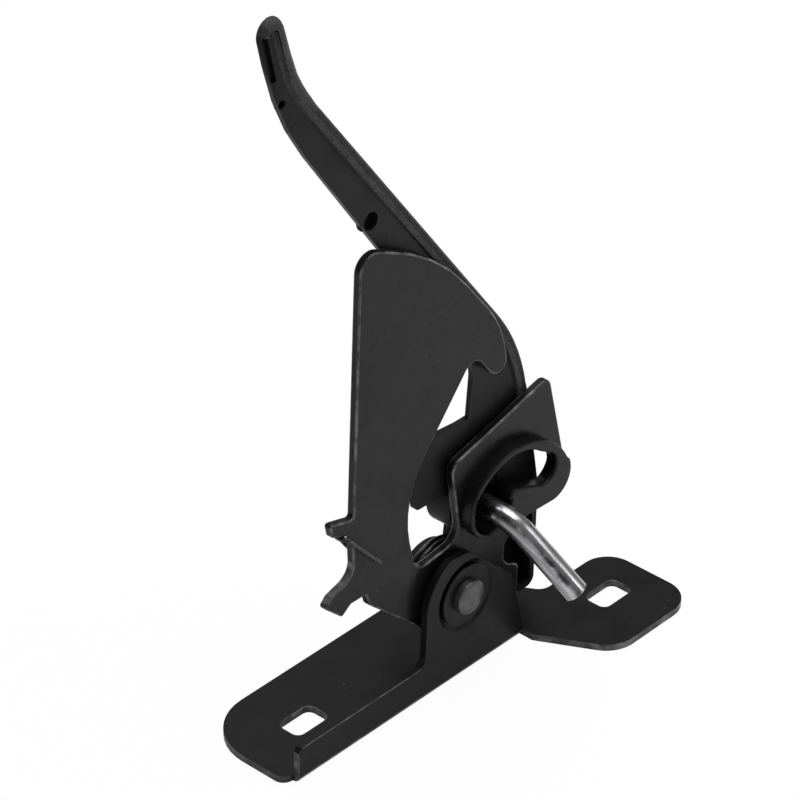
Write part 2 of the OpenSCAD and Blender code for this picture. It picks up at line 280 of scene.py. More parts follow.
# Noises are (scale, detail) or (scale, detail, roughness), bumps (noise, strength, depth)
blackCoat = {
    "tones": ((0.0042, 0.0042, 0.0044), (0.0075, 0.0075, 0.0078)), "gloss": 0.35, "specular": 0.16,
    "mottle": (38, 4), "mottleRange": (0.3, 0.7), "roughNoise": (90, 5), "dusty": True,
    "bumps": [((120, 2), 0.25, 0.0006), ((700, 2), 0.16, 0.00012)],
}

# The coat on broken edges: thinner and rubbed through in places, and paler as painted highlight where the
# edges catch the light
edgeCoat = {
    "tones": ((0.018, 0.018, 0.0185), (0.13, 0.13, 0.132)), "gloss": 0.34, "specular": 0.45,
    "mottle": (210, 5), "mottleRange": (0.46, 0.66), "roughNoise": (130, 4), "rough": (0.26, 0.44),
    "bumps": [((800, 3), 0.2, 0.0001)],
}

leverPlastic = {
    "tones": ((0.0055, 0.0055, 0.0058), (0.0085, 0.0085, 0.009)), "gloss": 0.4, "specular": 0.14,
    "mottle": (22, 5), "mottleRange": (0.35, 0.68), "roughNoise": (60, 4), "rough": (0.38, 0.48),
    "bumps": [((1500, 3), 0.18, 0.00008), ((55, 2), 0.2, 0.0006)],
}

# The rim's spark-eroded grain, coarser and paler than the web
rimGrain = {
    "tones": ((0.008, 0.008, 0.0085), (0.065, 0.065, 0.066)), "gloss": 0.55, "specular": 0.2,
    "mottle": (1150, 6, 0.75), "mottleRange": (0.34, 0.66), "roughNoise": (300, 4), "rough": (0.48, 0.66),
    "bumps": [((1150, 6, 0.75), 0.5, 0.00022), ((480, 3), 0.35, 0.0003)],
}

collarRubber = {
    "tones": ((0.0045, 0.0045, 0.0045), (0.0075, 0.0075, 0.0075)), "gloss": 0.36, "specular": 0.17,
    "mottle": (70, 4), "roughNoise": (130, 4), "rough": (0.30, 0.42),
    "bumps": [((900, 3), 0.15, 0.0001), ((160, 2), 0.25, 0.0004)],
}

rivetSteel = {
    "tones": ((0.085, 0.085, 0.087), (0.12, 0.12, 0.123)), "main": 1, "gloss": 0.32,
    "mottle": (420, 5), "roughNoise": (260, 4), "rough": (0.34, 0.44),
    "bumps": [((1500, 3), 0.25, 0.0001), ((300, 2), 0.3, 0.0003)],
}

springBlack = {
    "tones": ((0.008, 0.008, 0.0085), (0.03, 0.03, 0.031)), "gloss": 0.3, "metal": 0.3, "specular": 0.6,
    "mottle": (500, 5), "mottleRange": (0.45, 0.7), "roughNoise": (300, 4), "rough": (0.2, 0.34),
    "bumps": [((1100, 4), 0.3, 0.00012)],
}


# A finish of two tones in patches, with its own gloss patches and bumps
def makeMottled(name, finishSet, **changes):
    facts = {**plainSet, **finishSet, **changes}
    low, high = (tuple(c * facts["shade"] for c in tone) for tone in facts["tones"])
    finish, tree, skin = newFinish(name, (low, high)[facts["main"]],
                                   facts["gloss"], facts["metal"], facts["specular"])
    patches = spread(tree, noise(tree, *facts["mottle"]), 0, 1, *facts["mottleRange"])
    colour = mixColour(tree, patches, low, high)
    if facts["dusty"]:
        colour = mixColour(tree, specks(tree), colour, dustSet["colour"])
    tree.links.new(colour, skin.inputs["Base Color"])
    tree.links.new(spread(tree, noise(tree, *facts["roughNoise"]), *facts["rough"]), skin.inputs["Roughness"])
    addBump(tree, skin, [(noise(tree, *grain), strength, depth) for grain, strength, depth in facts["bumps"]])
    return finish


rodZinc = {
    "colour": (0.52, 0.52, 0.53), "darker": (0.24, 0.24, 0.25), "stain": (0.10, 0.10, 0.105),
    "rubbedAndPaintedLight": (0.035, 0.035, 0.037), "gloss": 0.24, "rough": (0.16, 0.34),
    "streak": (640, 6), "streakLength": 0.09, "streakRange": (0.42, 0.66), "streakBump": (0.35, 0.0002),
    "patch": (230, 5), "patchBump": (0.2, 0.0003),
    "stainShare": (0, 0.8), "stainRange": (0.60, 0.72), "rubReflectShare": (0.35, 1.0), "rubReflectRange": (0.42, 0.56),
}


# Zinc drawn along the rod: the streaks run with the rod's own length
def makeRodZinc():
    z = rodZinc
    finish, tree, skin = newFinish("brightZinc", z["colour"], z["gloss"], 1.0, plainSet["specular"])
    along = tree.nodes.new("ShaderNodeAttribute")
    along.attribute_name = "rodMap"
    turn = tree.nodes.new("ShaderNodeMapping")
    turn.inputs["Scale"].default_value = (1, 1, z["streakLength"])
    tree.links.new(along.outputs["Vector"], turn.inputs["Vector"])
    streak = noise(tree, *z["streak"], place=turn.outputs["Vector"])
    patch = noise(tree, *z["patch"], place=along.outputs["Vector"])
    drawn = mixColour(tree, spread(tree, streak, 0, 1, *z["streakRange"]), z["colour"], z["darker"])
    stained = mixColour(tree, spread(tree, patch, *z["stainShare"], *z["stainRange"]), drawn, z["stain"])
    # The dark band along the rod's front left: partly rub marks, partly a painted dark reflection
    rubReflectNode = tree.nodes.new("ShaderNodeAttribute")
    rubReflectNode.attribute_name = "rubAndReflectionBand"
    rubReflectMask = multiply(tree, rubReflectNode.outputs["Fac"], spread(tree, patch, *z["rubReflectShare"], *z["rubReflectRange"]))
    tree.links.new(mixColour(tree, rubReflectMask, stained, z["rubbedAndPaintedLight"]), skin.inputs["Base Color"])
    tree.links.new(spread(tree, streak, *z["rough"]), skin.inputs["Roughness"])
    addBump(tree, skin, [(streak, *z["streakBump"]), (patch, *z["patchBump"])])
    return finish


# The one black coat, darker on the base and lighter on the catch: painted shade and painted light, as the
# lower parts get less light
baseCoat = makeMottled("baseCoat", blackCoat, shade=0.75, rough=(0.34, 0.46))
catchCoat = makeMottled("catchCoat", blackCoat, shade=1.1, rough=(0.24, 0.36))
baseEdge = makeMottled("baseEdge", edgeCoat)
catchEdge = makeMottled("catchEdge", edgeCoat)
leverSkin = makeMottled("leverPlastic", leverPlastic)
rimSkin = makeMottled("rimGrain", rimGrain)
collarSkin = makeMottled("collarMoulding", collarRubber)
rodSkin = makeRodZinc()
rivetSkin = makeMottled("rivetSteel", rivetSteel, metal=0.8)
washerSkin = makeMottled("washerSteel", rivetSteel, shade=0.8, metal=0.9)
springSkin = makeMottled("springBlack", springBlack)
print("finishes made")

# Shaping tools

shapeSet = {
    "weld": 2e-6, "joinAngle": 0.6, "closeGap": 6e-5,  # how a node's shape is cleaned
    "sameWay": 0.99999, "leastWidth": 0.0012, "leastArea": 6e-6,  # what counts as a flat area
    "besideAngle": 50, "sharpAngle": 32, "smoothAngle": 40,
    "edgeAngle": 28, "planeGap": 2e-5,  # the loops of edges in a plane
    "arcStep": 4,  # degrees between the points of a rounded corner
}


def addPiece(name, mesh, body, finish, replaced=()):
    piece = bpy.data.objects.new(name, mesh)
    scene.collection.objects.link(piece)
    skins = finish if isinstance(finish, list) else [finish]
    for skin in skins:
        mesh.materials.append(skin)
    if len(skins) == 1:
        for face in mesh.polygons:
            face.material_index = 0
    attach(piece, body)
    if replaced:
        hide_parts(*replaced)
    return piece


def atPivot(x, y, z):
    return (Vector((x, y, z)) + pivot / mm) * mm


def sharpEdges(shape, angle):
    return [e for e in shape.edges if len(e.link_faces) == 2 and e.calc_face_angle(0) > math.radians(angle)]


# Edges that hang together, as lists, always in the same order
def edgeGroups(edges):
    left = set(edges)
    groups = []
    for start in edges:
        if start not in left:
            continue
        left.remove(start)
        group = [start]
        for edge in group:
            for vert in edge.verts:
                for near in vert.link_edges:
                    if near in left:
                        left.remove(near)
                        group.append(near)
        groups.append(group)
    return groups


def breakEdges(shape, edges, width, steps):
    for group in edgeGroups(edges):
        group = [edge for edge in group if edge.is_valid]
        made = bmesh.ops.bevel(shape, geom=group, offset=width, offset_type="OFFSET", segments=steps,
                               profile=0.5, affect="EDGES", clamp_overlap=True)
        # Bevel faces take the second finish: on the plates the pale edge coat, partly wear and partly painted
        # highlight
        for face in made["faces"]:
            face.material_index = 1


# New edges where a plane crosses the shape, which stays whole
def scoreShape(shape, place, way):
    bmesh.ops.bisect_plane(shape, geom=shape.verts[:] + shape.edges[:] + shape.faces[:],
                           plane_co=place, plane_no=way)


# The copy of a node's shape, with flat faces joined and slivers closed
def openShape(node, name):
    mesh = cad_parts[node].data.copy()
    mesh.name = name
    mesh.materials.clear()
    shape = bmesh.new()
    shape.from_mesh(mesh)
    bmesh.ops.remove_doubles(shape, verts=shape.verts, dist=shapeSet["weld"])
    bmesh.ops.dissolve_limit(shape, angle_limit=math.radians(shapeSet["joinAngle"]),
                             verts=shape.verts, edges=shape.edges)
    bmesh.ops.dissolve_degenerate(shape, dist=shapeSet["closeGap"], edges=shape.edges)
    shape.normal_update()
    return mesh, shape


# The large flat areas of a shape: for each of their faces, by its index, the area's normal and size
def flatAreas(shape):
    found = {}
    left = set(shape.faces)
    for start in shape.faces:
        if start not in left:
            continue
        left.remove(start)
        area = [start]
        for face in area:
            for edge in face.edges:
                for other in edge.link_faces:
                    if other in left and other.normal.dot(area[0].normal) > shapeSet["sameWay"]:
                        left.remove(other)
                        area.append(other)
        corners = [v.co for face in area for v in face.verts]
        span = max((max(c[k] for c in corners) - min(c[k] for c in corners)) for k in range(3))
        size = sum(face.calc_area() for face in area)
        if size > shapeSet["leastWidth"] * span and size > shapeSet["leastArea"]:
            for face in area:
                found[face.index] = (area[0].normal.copy(), size)
    return found


# Flat areas keep flat shading, and the broken edges beside them run smoothly into them
def closeShape(mesh, shape, roundAbove=math.inf):
    bmesh.ops.triangulate(shape, faces=[f for f in shape.faces if len(f.verts) > 4])
    bmesh.ops.recalc_face_normals(shape, faces=shape.faces)
    shape.faces.index_update()
    shape.normal_update()
    shape.faces.ensure_lookup_table()
    flat = {index: area for index, area in flatAreas(shape).items()
            if min(v.co.z for v in shape.faces[index].verts) < roundAbove}
    limit = math.cos(math.radians(shapeSet["besideAngle"]))
    near = math.cos(math.radians(shapeSet["sharpAngle"]))
    normals = []
    for face in shape.faces:
        for corner in face.loops:
            if face.index in flat:
                normals.append(flat[face.index][0])
                continue
            beside = [flat[f.index] for f in corner.vert.link_faces
                      if f.index in flat and f.normal.dot(face.normal) > limit]
            if beside:
                normals.append(max(beside, key=lambda area: area[1])[0])
                continue
            total = Vector()
            for f in corner.vert.link_faces:
                if f.normal.dot(face.normal) > near:
                    total += f.normal * f.calc_area()
            normals.append(total.normalized() if total.length else face.normal.copy())
    shape.to_mesh(mesh)
    shape.free()
    mesh.shade_smooth()
    mesh.normals_split_custom_set(normals)
    return mesh


# A node's own shape with its edges broken, as a punch, a mould or a fold leaves them
def soften(node, name, width, steps, sharpAngle, marking=None):
    mesh, shape = openShape(node, name)
    breakEdges(shape, sharpEdges(shape, sharpAngle), width, steps)
    if marking:
        marking(shape)
    return closeShape(mesh, shape)


# The loops of sharp edges that lie in the plane y, the longest first
def planeLoops(shape, y):
    flat = [e for e in sharpEdges(shape, shapeSet["edgeAngle"])
            if all(abs(v.co.y - y) < shapeSet["planeGap"] for v in e.verts)]
    return sorted(edgeGroups(flat), key=lambda group: -sum(e.calc_length() for e in group))


# A turned piece: profile holds (radius, y) pairs from the front centre to the back centre
def latheMesh(name, profile, steps, faceDepth=None, centre=(0, 0)):
    verts, faces = [], []
    rings = []
    for radius, y in profile:
        if radius < 1e-9:
            rings.append([len(verts)])
            verts.append(Vector((0, y, 0)))
        else:
            start = len(verts)
            for k in range(steps):
                turn = 2 * math.pi * k / steps
                verts.append(Vector((radius * math.cos(turn), y, radius * math.sin(turn))))
            rings.append(list(range(start, start + steps)))
    for first, second in zip(rings, rings[1:]):
        for k in range(steps):
            n = (k + 1) % steps
            if len(first) == 1:
                faces.append((first[0], second[k], second[n]))
            elif len(second) == 1:
                faces.append((first[k], second[0], first[n]))
            else:
                faces.append((first[k], second[k], second[n], first[n]))
    if faceDepth:
        verts = [v + Vector((0, faceDepth(v), 0)) for v in verts]
    mesh = bpy.data.meshes.new(name)
    mesh.from_pydata([(v + Vector((centre[0], 0, centre[1])) + pivot / mm) * mm for v in verts], [], faces)
    shape = bmesh.new()
    shape.from_mesh(mesh)
    bmesh.ops.recalc_face_normals(shape, faces=shape.faces)
    shape.to_mesh(mesh)
    shape.free()
    mesh.shade_smooth()
    mesh.set_sharp_from_angle(angle=math.radians(shapeSet["smoothAngle"]))
    return mesh


# A round wire or rod along a path, with a frame that doesn't twist
def sweep(name, path, radii, sides, mapName=None):
    ahead = []
    for i in range(len(path)):
        ahead.append((path[min(i + 1, len(path) - 1)] - path[max(i - 1, 0)]).normalized())
    side = ahead[0].orthogonal().normalized()
    verts, faces, mapping = [], [], []
    length = 0
    for i, point in enumerate(path):
        if i:
            side = (ahead[i - 1].rotation_difference(ahead[i]) @ side).normalized()
            length += (point - path[i - 1]).length
        other = ahead[i].cross(side)
        for k in range(sides):
            turn = 2 * math.pi * k / sides
            verts.append((point + radii[i] * (math.cos(turn) * side + math.sin(turn) * other)) * mm)
            mapping.append((radii[0] * math.cos(turn) * mm, radii[0] * math.sin(turn) * mm, length * mm))
    for i in range(len(path) - 1):
        for k in range(sides):
            n = (k + 1) % sides
            faces.append((i * sides + k, i * sides + n, (i + 1) * sides + n, (i + 1) * sides + k))
    faces.append(tuple(range(sides - 1, -1, -1)))
    faces.append(tuple((len(path) - 1) * sides + k for k in range(sides)))
    mesh = bpy.data.meshes.new(name)
    mesh.from_pydata(verts, [], faces)
    if mapName:
        layer = mesh.attributes.new(mapName, "FLOAT_VECTOR", "POINT")
        layer.data.foreach_set("vector", [c for v in mapping for c in v])
    mesh.shade_smooth()
    mesh.set_sharp_from_angle(angle=math.radians(shapeSet["smoothAngle"]))
    return mesh


# A path whose inner corners (x, z, radius) are rounded to their radius
def roundPath(corners):
    points = [Vector(corners[0][:2])]
    for before, corner, after in zip(corners, corners[1:], corners[2:]):
        place = Vector(corner[:2])
        back = (Vector(before[:2]) - place).normalized()
        ahead = (Vector(after[:2]) - place).normalized()
        half = back.angle(ahead) / 2
        reach = corner[2] / math.tan(half)
        middle = place + (back + ahead).normalized() * corner[2] / math.sin(half)
        first = place + back * reach - middle
        last = place + ahead * reach - middle
        turn = math.atan2(first.x * last.y - first.y * last.x, first.dot(last))
        count = max(2, math.ceil(abs(math.degrees(turn)) / shapeSet["arcStep"]))
        for k in range(count + 1):
            a = turn * k / count
            points.append(middle + Vector((first.x * math.cos(a) - first.y * math.sin(a),
                                           first.x * math.sin(a) + first.y * math.cos(a))))
    points.append(Vector(corners[-1][:2]))
    return points


def evenPath(points, spacing):
    fine = [points[0]]
    for a, b in zip(points, points[1:]):
        count = max(1, math.ceil((b - a).length / spacing))
        fine += [a.lerp(b, k / count) for k in range(1, count + 1)]
    return fine


def nearestOn(line, point):
    best = None
    for a, b in zip(line, line[1:]):
        t = min(1, max(0, (point - a).dot(b - a) / max((b - a).length_squared, 1e-9)))
        near = a.lerp(b, t)
        if best is None or (near - point).length < (best - point).length:
            best = near
    return best


# A flat plate in X and Z between two depths
def makeSlab(name, outline, frontY, backY):
    shape = bmesh.new()
    front = shape.faces.new([shape.verts.new(atPivot(x, frontY, z)) for x, z in outline])
    moved = bmesh.ops.extrude_face_region(shape, geom=[front])
    for part in moved["geom"]:
        if isinstance(part, bmesh.types.BMVert):
            part.co.y = backY * mm
    return closeShape(bpy.data.meshes.new(name), shape)


# Base plate and catch plate

plateSet = {"baseEdge": 0.00045, "baseAngle": 40, "catchEdge": 0.0006, "catchAngle": 28, "steps": 4}
tabSet = {"right": -0.046, "wallTop": 0.0675}
wornLitEdge = {"sheetTop": 0.0025, "flangeTop": 0.0136, "flangeFoot": 0.0115, "wornLitY": -0.0221}


# The lower tab's blanked left wall takes the pale edge coat, as painted light: it is lit from above left
def markLitTabWall(shape):
    shape.normal_update()
    for face in shape.faces:
        centre = face.calc_center_median()
        leftWall = abs(face.normal.y) < 0.5 and face.normal.x < -0.2
        if leftWall and centre.x < tabSet["right"] and centre.z < tabSet["wallTop"]:
            face.material_index = 1


# The base's faces that take the pale edge coat: the sheet's sheared rim, the flange's end and its top. Partly
# wear of the coat, partly painted highlight where these edges catch the light
def markWornLitEdges(shape):
    scoreShape(shape, (0, wornLitEdge["wornLitY"], 0), (0, 1, 0))
    shape.normal_update()
    for face in shape.faces:
        centre = face.calc_center_median()
        way = face.normal
        low = centre.z < wornLitEdge["flangeTop"]
        rim = abs(way.z) < 0.5 and centre.z < wornLitEdge["sheetTop"] and (abs(way.x) > 0.2 or way.y < -0.7)
        flangeEnd = way.x < -0.9 and low
        rubbedAndPaintedLight = way.z > 0.7 and low and centre.z > wornLitEdge["flangeFoot"] and centre.y < wornLitEdge["wornLitY"]
        if rim or flangeEnd or rubbedAndPaintedLight:
            face.material_index = 1


baseMesh = soften("base_plate", "foldedBase", plateSet["baseEdge"], plateSet["steps"],
                  plateSet["baseAngle"], markWornLitEdges)
addPiece("foldedBase", baseMesh, "base", [baseCoat, baseEdge], ["base_plate"])
catchMesh = soften("catch_plate", "catchPlate", plateSet["catchEdge"], plateSet["steps"],
                   plateSet["catchAngle"], markLitTabWall)
addPiece("catchPlate", catchMesh, "catch", [catchCoat, catchEdge], ["catch_plate"])
print("plates made")

# Release lever: places are (x, z) in mm from the pivot

leverSet = {
    "edge": 0.0003, "steps": 2, "sharpAngle": 28, "roundAbove": 0.232,
    "rimY": -15, "webY": -14, "backY": -12, "gap": 0.02,
    "outer": [(-78.4, 226.6, 0), (-79.5, 231.6, 4.6), (-69.9, 231.6, 4.3), (-63.3, 206.6, 60),
              (33.3, 76.7, 75), (39, 44, 0)],
    "inner": [(-77.6, 226.9, 0), (-77.4, 228.8, 1.2), (-73.2, 228.8, 2.4), (-67.4, 205, 60),
              (29.2, 75.6, 70), (34.8, 44, 0)],
}
headSet = {
    "leftEdge": ((-72.9, 205), (-78.45, 226.5)), "crown": 1.3, "crownFoot": 203, "crownRise": 12,
    "crownReach": 4.2, "wallFoot": 207, "wallReach": 0.8, "wallIn": 0.0009, "middle": (-73.6, 214),
    "outlineStep": 0.5,
}
lobeSet = {
    "right": 5.95, "foot": 34.9, "top": 60.8, "far": 28, "deepTop": 49.1, "deepY": -5,
    "backY": -11.8, "floorY": -12.6, "scoreX": (0.0059, 0.0061, 0.0279, 0.0281), "scoreZ": (0.0803, 0.0805),
}
bossSet = {
    "hole": (-34.5, 149.7), "inner": 3.5, "outer": 4.6, "fromY": -12.6, "wallY": -12.4,
    "backY": -11.7, "floorFromY": -11.9, "insetBack": 1.0, "insetFront": 0.05, "leastEdge": 0.01,
}
rimSet = {
    "spacing": 1.5, "headFrom": 196, "headReach": 16, "sharpAngle": 50,
    "tuck": 1.2, "under": 0.13, "shoulder": 2.6, "turns": (0.25, 0.5, 0.75, 1.0, 1.25, 1.5),
    "grooves": (1.35, 2.05), "grooveHalf": 0.22, "grooveDepth": 0.22, "drop": 0.35, "lip": 0.5,
    "step": [(0, 0.12), (0.15, 0.45)], "foot": [(0.3, 0.8, -0.02), (0.4, 1.0, 0.3)],
}
# The floor that closes the head's slot and small hole, and the panel over the tray's pocket
slabSet = {
    "slotFloor": {
        "outline": [(-69, 201.6), (-71.8, 201.9), (-72.5, 205), (-78.1, 226.5), (-77.1, 229.2),
                    (-74.5, 230.5), (-70.5, 229.4), (-66.6, 207)],
        "frontY": -12.32, "backY": -12.02,
    },
    "leverBacking": {
        "outline": [(-14, 59.4), (-14, 37), (-1, 36.4), (4, 34.4), (11, 27), (23, 36), (24, 22), (36, 20),
                    (41, 24), (38.6, 44.5), (8.6, 50.5), (9.4, 58.3)],
        "frontY": -14.02, "backY": -12.5,
    },
}
ringSet = {
    "places": [(-66.4, 196.6), (-29.4, 141.2), (24.4, 61.5)], "radius": 2.0, "sides": 40,
    "section": [(-0.2, 0.05), (-0.12, -0.07), (0.12, -0.07), (0.2, 0.05)],
}


# How far the head's face falls back beside its left edge
def headCrown(x, z):
    foot, top = (Vector(place) for place in headSet["leftEdge"])
    along = (top - foot).normalized()
    gap = (Vector((x, z)) - foot).dot(Vector((along.y, -along.x)))
    rise = min(1, max(0, (z - headSet["crownFoot"]) / headSet["crownRise"]))
    fall = max(0, 1 - max(0, gap) / headSet["crownReach"])
    return headSet["crown"] * rise * rise * (3 - 2 * rise) * fall * fall


# The rim's section at one place, as (distance inwards, y) pairs; head is 0 on the arm and 1 on the head
def rimSection(width, head):
    r = rimSet
    rimY, webY = leverSet["rimY"], leverSet["webY"]
    side = 1 + (r["shoulder"] - 1) * head
    foot = webY + (leverSet["backY"] - webY) * head
    drop = r["drop"] * head
    under = foot + (rimY - foot) * r["under"]
    section = [(r["tuck"], under), (0, under)]
    section += [(side * (1 - math.cos(a)), foot + (rimY - foot) * math.sin(a)) for a in r["turns"]]
    start = max(0, side - 1)
    if width < side + 1:
        section += [(side, rimY)] * (4 * len(r["grooves"]))
    else:
        for g in r["grooves"]:
            deep = rimY + r["grooveDepth"] * (1 - head)
            half = r["grooveHalf"]
            section += [(g + start - half, rimY), (g + start - half / 3, deep),
                        (g + start + half / 3, deep), (g + start + half, rimY)]
    edge = max(width, side)
    section.append((edge - r["lip"] * (width > side + 1), rimY))
    section += [(edge + d, rimY + y + drop) for d, y in r["step"]]
    section += [(edge + d + head * more, webY + y) for d, more, y in r["foot"]]
    return section


# The rim: a rounded outer shoulder, two fine lines and a soft step down to the web
def makeRim():
    verts, faces = [], []
    innerLine = roundPath(leverSet["inner"])
    for i, point in enumerate(evenPath(roundPath(leverSet["outer"]), rimSet["spacing"])):
        across = nearestOn(innerLine, point) - point
        way = across.normalized()
        head = min(1, max(0, (point.y - rimSet["headFrom"]) / rimSet["headReach"]))
        section = rimSection(across.length, head)
        count = len(section)
        for d, y in section:
            place = point + way * d
            front = min(1, max(0, (leverSet["backY"] - y) / 2))
            verts.append(atPivot(place.x, y + headCrown(place.x, place.y) * front, place.y))
        if i:
            base = (i - 1) * count
            faces += [(base + k, base + k + 1, base + count + k + 1, base + count + k)
                      for k in range(count - 1)]
    mesh = bpy.data.meshes.new("leverRim")
    mesh.from_pydata(verts, [], faces)
    mesh.shade_smooth()
    mesh.set_sharp_from_angle(angle=math.radians(rimSet["sharpAngle"]))
    return mesh


# The arm's lower edge beside the oval hole: its nearest point and the way inwards
def findArmEdge(shape):
    centre = Vector(bossSet["hole"])
    best = None
    for edge in shape.edges:
        ends = [vert.co / mm - pivot / mm for vert in edge.verts]
        onWeb = all(abs(end.y - leverSet["webY"]) < leverSet["gap"] for end in ends)
        if onWeb and edge.calc_length() > bossSet["leastEdge"]:
            first, last = (Vector((end.x, end.z)) for end in ends)
            t = min(1, max(0, (centre - first).dot(last - first) / (last - first).length_squared))
            foot = first.lerp(last, t)
            if best is None or (foot - centre).length < best.length:
                best = foot - centre
    return best, -best.normalized()


# The solid's rim goes down to the web, where the rim's own piece stands, and the head is crowned
def shapeHead(vert, place, outline):
    if abs(place.y - leverSet["rimY"]) < leverSet["gap"]:
        vert.co.y = leverSet["webY"] * mm
    if place.y < leverSet["webY"] + leverSet["gap"]:
        vert.co.y += headCrown(place.x, place.z) * mm
        here = Vector((place.x, place.z))
        nearest = min(outline, key=lambda point: (point - here).length)
        if place.z > headSet["wallFoot"] and (nearest - here).length < headSet["wallReach"]:
            inner = (Vector(headSet["middle"]) - nearest).normalized()
            vert.co.x += inner.x * headSet["wallIn"]
            vert.co.z += inner.y * headSet["wallIn"]


# The tray's left lobe and top are thin, so the background shows beside the arm
def shapeLobe(vert, place):
    left = place.x < lobeSet["right"] and place.z > lobeSet["foot"]
    upper = place.x < lobeSet["far"] and place.z > lobeSet["deepTop"]
    if (left or upper) and place.z < lobeSet["top"] and place.y > lobeSet["floorY"]:
        vert.co.y = (lobeSet["backY"] if place.y > lobeSet["deepY"] else lobeSet["floorY"]) * mm


# The boss behind the oval hole is low, and stays inside the arm's lower edge
def shapeBoss(vert, place, armEdge):
    b = bossSet
    holeX, holeZ = b["hole"]
    far = Vector((place.x - holeX, place.z - holeZ))
    if b["inner"] < far.length < b["outer"] and place.y > b["fromY"]:
        out = (far - armEdge[0]).dot(armEdge[1])
        inset = b["insetBack"] if place.y > b["wallY"] else b["insetFront"]
        if out < inset:
            far += armEdge[1] * (inset - out)
        vert.co = atPivot(holeX + far.x, min(place.y, b["backY"]), holeZ + far.y)
    elif far.length < b["inner"] and place.y > b["floorFromY"]:
        vert.co.y = b["backY"] * mm


leverMesh, leverShape = openShape("release_lever", "releaseLever")
for scoreX in lobeSet["scoreX"]:
    scoreShape(leverShape, (scoreX, 0, 0), (1, 0, 0))
for scoreZ in lobeSet["scoreZ"]:
    scoreShape(leverShape, (0, 0, scoreZ), (0, 0, 1))
headOutline = evenPath(roundPath(leverSet["outer"]), headSet["outlineStep"])
lowerEdge = findArmEdge(leverShape)
for leverVert in leverShape.verts:
    leverPlace = leverVert.co / mm - pivot / mm
    shapeHead(leverVert, leverPlace, headOutline)
    shapeLobe(leverVert, leverPlace)
    shapeBoss(leverVert, leverPlace, lowerEdge)
leverShape.normal_update()
breakEdges(leverShape, sharpEdges(leverShape, leverSet["sharpAngle"]), leverSet["edge"], leverSet["steps"])
closeShape(leverMesh, leverShape, leverSet["roundAbove"])
addPiece("releaseLever", leverMesh, "catch", leverSkin, ["release_lever"])
addPiece("leverRim", makeRim(), "catch", rimSkin)
for slabName, slabFacts in slabSet.items():
    addPiece(slabName, makeSlab(slabName, **slabFacts), "catch", leverSkin)
for ringIndex, ringPlace in enumerate(ringSet["places"]):
    ringProfile = [(ringSet["radius"] + d, leverSet["webY"] + y) for d, y in ringSet["section"]]
    addPiece("ejectorMark" + str(ringIndex + 1),
             latheMesh("ejectorMark", ringProfile, ringSet["sides"], None, ringPlace),
             "catch", leverSkin)

# Collar

collarSet = {
    "frontY": -0.0226, "outerEdge": 0.0006, "holeEdge": 0.0013, "steps": 5,
    "neckY": -0.0181, "neckFrom": 0.028, "farEnd": (0.0389, 0.0596), "neckWider": 0.0012,
}
collarMesh, collarShape = openShape("guide_collar", "guideCollar")
frontLoops = planeLoops(collarShape, collarSet["frontY"])
for frontLoop, loopEdge in zip(frontLoops, (collarSet["outerEdge"], collarSet["holeEdge"])):
    breakEdges(collarShape, frontLoop, loopEdge, collarSet["steps"])
for collarVert in collarShape.verts:
    if collarVert.co.y > collarSet["neckY"] and collarVert.co.x > collarSet["neckFrom"]:
        endX, endZ = collarSet["farEnd"]
        outward = Vector((collarVert.co.x - endX, collarVert.co.z - endZ)).normalized()
        collarVert.co.x += outward.x * collarSet["neckWider"]
        collarVert.co.z += outward.y * collarSet["neckWider"]
closeShape(collarMesh, collarShape)
addPiece("guideCollar", collarMesh, "catch", collarSkin, ["guide_collar"])
print("lever and collar made")

# Rivet, washers, bush and clip

rivetSet = {
    "headRadius": 6, "rim": 1.8, "dome": 1.4, "domeSteps": 12, "seatY": -22.6, "shank": 4,
    "tailRadius": 7.6, "tailY": -2.7, "tailDepth": 2.2, "tailChamfer": 0.6,
    "dimple": (0.5, -3.1), "dimpleRadius": 0.8, "dimpleDepth": 0.35, "sides": 64,
}


def rivetProfile(r):
    front = r["seatY"] - r["rim"]
    points = [(0, front - r["dome"])]
    for step in range(1, r["domeSteps"] + 1):
        a = math.radians(90 - 90 / r["domeSteps"] * step)
        points.append((r["headRadius"] * math.cos(a), front - r["dome"] * math.sin(a)))
    points += [(r["headRadius"], r["seatY"]), (r["shank"], r["seatY"]), (r["shank"], r["tailY"])]
    back = r["tailY"] + r["tailDepth"]
    points += [(r["tailRadius"], r["tailY"]), (r["tailRadius"], back - r["tailChamfer"]),
               (r["tailRadius"] - r["tailChamfer"], back), (0, back)]
    return points


# The small dimple that the riveting tool left in the dome
def rivetDimple(v):
    r = rivetSet
    if v.y > r["seatY"] - 1:
        return 0
    far = math.hypot(v.x - r["dimple"][0], v.z - r["dimple"][1]) / r["dimpleRadius"]
    return r["dimpleDepth"] * math.exp(-far * far)


rivetMesh = latheMesh("domedRivet", rivetProfile(rivetSet), rivetSet["sides"], rivetDimple)
addPiece("domedRivet", rivetMesh, "base", rivetSkin, ["pivot_rivet"])
smallSet = {
    "head_washer": {"name": "headWasher", "body": "base", "edge": 0.0003, "finish": baseCoat},
    "pivot_washer": {"name": "rearWasher", "body": "base", "edge": 0.00015, "finish": washerSkin},
    "pivot_bush": {"name": "hubBush", "body": "catch", "edge": 0.00015, "finish": washerSkin},
    "rod_clip": {"name": "rodClip", "body": "catch", "edge": 0.00015, "finish": washerSkin},
}
smallSteps, smallAngle = 3, 40
for node, small in smallSet.items():
    smallMesh = soften(node, small["name"], small["edge"], smallSteps, smallAngle)
    addPiece(small["name"], smallMesh, small["body"], small["finish"], [node])
print("rivet and washers made")

# Guide rod

